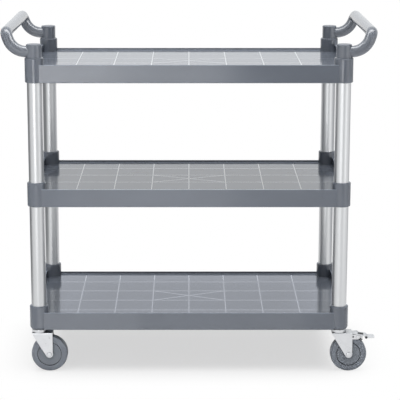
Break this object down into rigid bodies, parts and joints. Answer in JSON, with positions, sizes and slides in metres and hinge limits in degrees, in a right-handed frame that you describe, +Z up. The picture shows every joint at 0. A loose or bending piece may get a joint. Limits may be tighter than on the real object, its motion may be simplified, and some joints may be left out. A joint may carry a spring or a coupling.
{
  "type": "serving trolley",
  "caption": "Serving trolley with stacked moulded tray shelves on round aluminium posts, a loop handle at each end, swivel casters and foot brakes.",
  "frame": {"origin": "on the floor under the centre of the trolley", "axes": "+X from the left handle to the right one, along the trolley; +Y from the front to the rear side, which has the low rim; +Z up"},
  "size_m": [1.0201, 0.499, 0.9574],
  "materials": {
    "shelf_plastic": "moulded grey plastic with a satin gloss",
    "handle_plastic": "moulded grey plastic, glossy",
    "post_aluminium": "drawn and anodised tube",
    "zinc_steel": "pressed steel, bright zinc plated",
    "tyre_rubber": "dark grey rubber",
    "wheel_plastic": "dark grey moulded plastic",
    "bearing_nylon": "natural nylon",
    "dark_steel": "blackened steel",
    "shoe_rubber": "black rubber"
  },
  "bodies": {
    "frame": {"bottom_shelf": "shelf_plastic", "middle_shelf": "shelf_plastic", "top_shelf": "shelf_plastic", "handle_left": "handle_plastic", "handle_right": "handle_plastic", "stem_nuts": "zinc_steel", "lower_post_front_left": "post_aluminium", "upper_post_front_left": "post_aluminium", "caster_stem_front_left": "zinc_steel", "swivel_cap_front_left": "zinc_steel", "lower_post_front_right": "post_aluminium", "upper_post_front_right": "post_aluminium", "caster_stem_front_right": "zinc_steel", "swivel_cap_front_right": "zinc_steel", "lower_post_rear_left": "post_aluminium", "upper_post_rear_left": "post_aluminium", "caster_stem_rear_left": "zinc_steel", "swivel_cap_rear_left": "zinc_steel", "lower_post_rear_right": "post_aluminium", "upper_post_rear_right": "post_aluminium", "caster_stem_rear_right": "zinc_steel", "swivel_cap_rear_right": "zinc_steel"},
    "swivel_front_left": {"swivel_bearing_front_left": "bearing_nylon", "fork_front_left": "zinc_steel", "axle_front_left": "zinc_steel", "axle_nut_front_left": "zinc_steel"},
    "wheel_front_left": {"tyre_front_left": "tyre_rubber", "wheel_core_front_left": "wheel_plastic", "wheel_bush_front_left": "bearing_nylon"},
    "swivel_front_right": {"swivel_bearing_front_right": "bearing_nylon", "fork_front_right": "zinc_steel", "axle_front_right": "zinc_steel", "axle_nut_front_right": "zinc_steel", "brake_pin_front_right": "zinc_steel"},
    "wheel_front_right": {"tyre_front_right": "tyre_rubber", "wheel_core_front_right": "wheel_plastic", "wheel_bush_front_right": "bearing_nylon"},
    "pedal_front_right": {"brake_pedal_front_right": "zinc_steel", "brake_shoe_front_right": "shoe_rubber", "pedal_pad_front_right": "shoe_rubber", "tread_pin_front_right": "dark_steel"},
    "swivel_rear_left": {"swivel_bearing_rear_left": "bearing_nylon", "fork_rear_left": "zinc_steel", "axle_rear_left": "zinc_steel", "axle_nut_rear_left": "zinc_steel"},
    "wheel_rear_left": {"tyre_rear_left": "tyre_rubber", "wheel_core_rear_left": "wheel_plastic", "wheel_bush_rear_left": "bearing_nylon"},
    "swivel_rear_right": {"swivel_bearing_rear_right": "bearing_nylon", "fork_rear_right": "zinc_steel", "axle_rear_right": "zinc_steel", "axle_nut_rear_right": "zinc_steel", "brake_pin_rear_right": "zinc_steel"},
    "wheel_rear_right": {"tyre_rear_right": "tyre_rubber", "wheel_core_rear_right": "wheel_plastic", "wheel_bush_rear_right": "bearing_nylon"},
    "pedal_rear_right": {"brake_pedal_rear_right": "zinc_steel", "brake_shoe_rear_right": "shoe_rubber", "pedal_pad_rear_right": "shoe_rubber", "tread_pin_rear_right": "dark_steel"}
  },
  "joints": [
    {"name": "swivel_turn_front_left", "type": "hinge", "parent": "frame", "child": "swivel_front_left", "pos_m": [-0.415, -0.224, 0.112], "axis": [0, 0, 1], "continuous": true},
    {"name": "wheel_spin_front_left", "type": "hinge", "parent": "swivel_front_left", "child": "wheel_front_left", "pos_m": [-0.387, -0.224, 0.05], "axis": [0, 1, 0], "continuous": true},
    {"name": "swivel_turn_front_right", "type": "hinge", "parent": "frame", "child": "swivel_front_right", "pos_m": [0.415, -0.224, 0.112], "axis": [0, 0, 1], "continuous": true},
    {"name": "wheel_spin_front_right", "type": "hinge", "parent": "swivel_front_right", "child": "wheel_front_right", "pos_m": [0.443, -0.224, 0.05], "axis": [0, 1, 0], "continuous": true},
    {"name": "pedal_press_front_right", "type": "hinge", "parent": "swivel_front_right", "child": "pedal_front_right", "pos_m": [0.46711, -0.224, 0.10032], "axis": [0, 1, 0], "range_deg": [0, 8]},
    {"name": "swivel_turn_rear_left", "type": "hinge", "parent": "frame", "child": "swivel_rear_left", "pos_m": [-0.415, 0.224, 0.112], "axis": [0, 0, 1], "continuous": true},
    {"name": "wheel_spin_rear_left", "type": "hinge", "parent": "swivel_rear_left", "child": "wheel_rear_left", "pos_m": [-0.387, 0.224, 0.05], "axis": [0, 1, 0], "continuous": true},
    {"name": "swivel_turn_rear_right", "type": "hinge", "parent": "frame", "child": "swivel_rear_right", "pos_m": [0.415, 0.224, 0.112], "axis": [0, 0, 1], "continuous": true},
    {"name": "wheel_spin_rear_right", "type": "hinge", "parent": "swivel_rear_right", "child": "wheel_rear_right", "pos_m": [0.387, 0.224, 0.05], "axis": [0, -1, 0], "continuous": true},
    {"name": "pedal_press_rear_right", "type": "hinge", "parent": "swivel_rear_right", "child": "pedal_rear_right", "pos_m": [0.36289, 0.224, 0.10032], "axis": [0, -1, 0], "range_deg": [0, 8]}
  ]
}
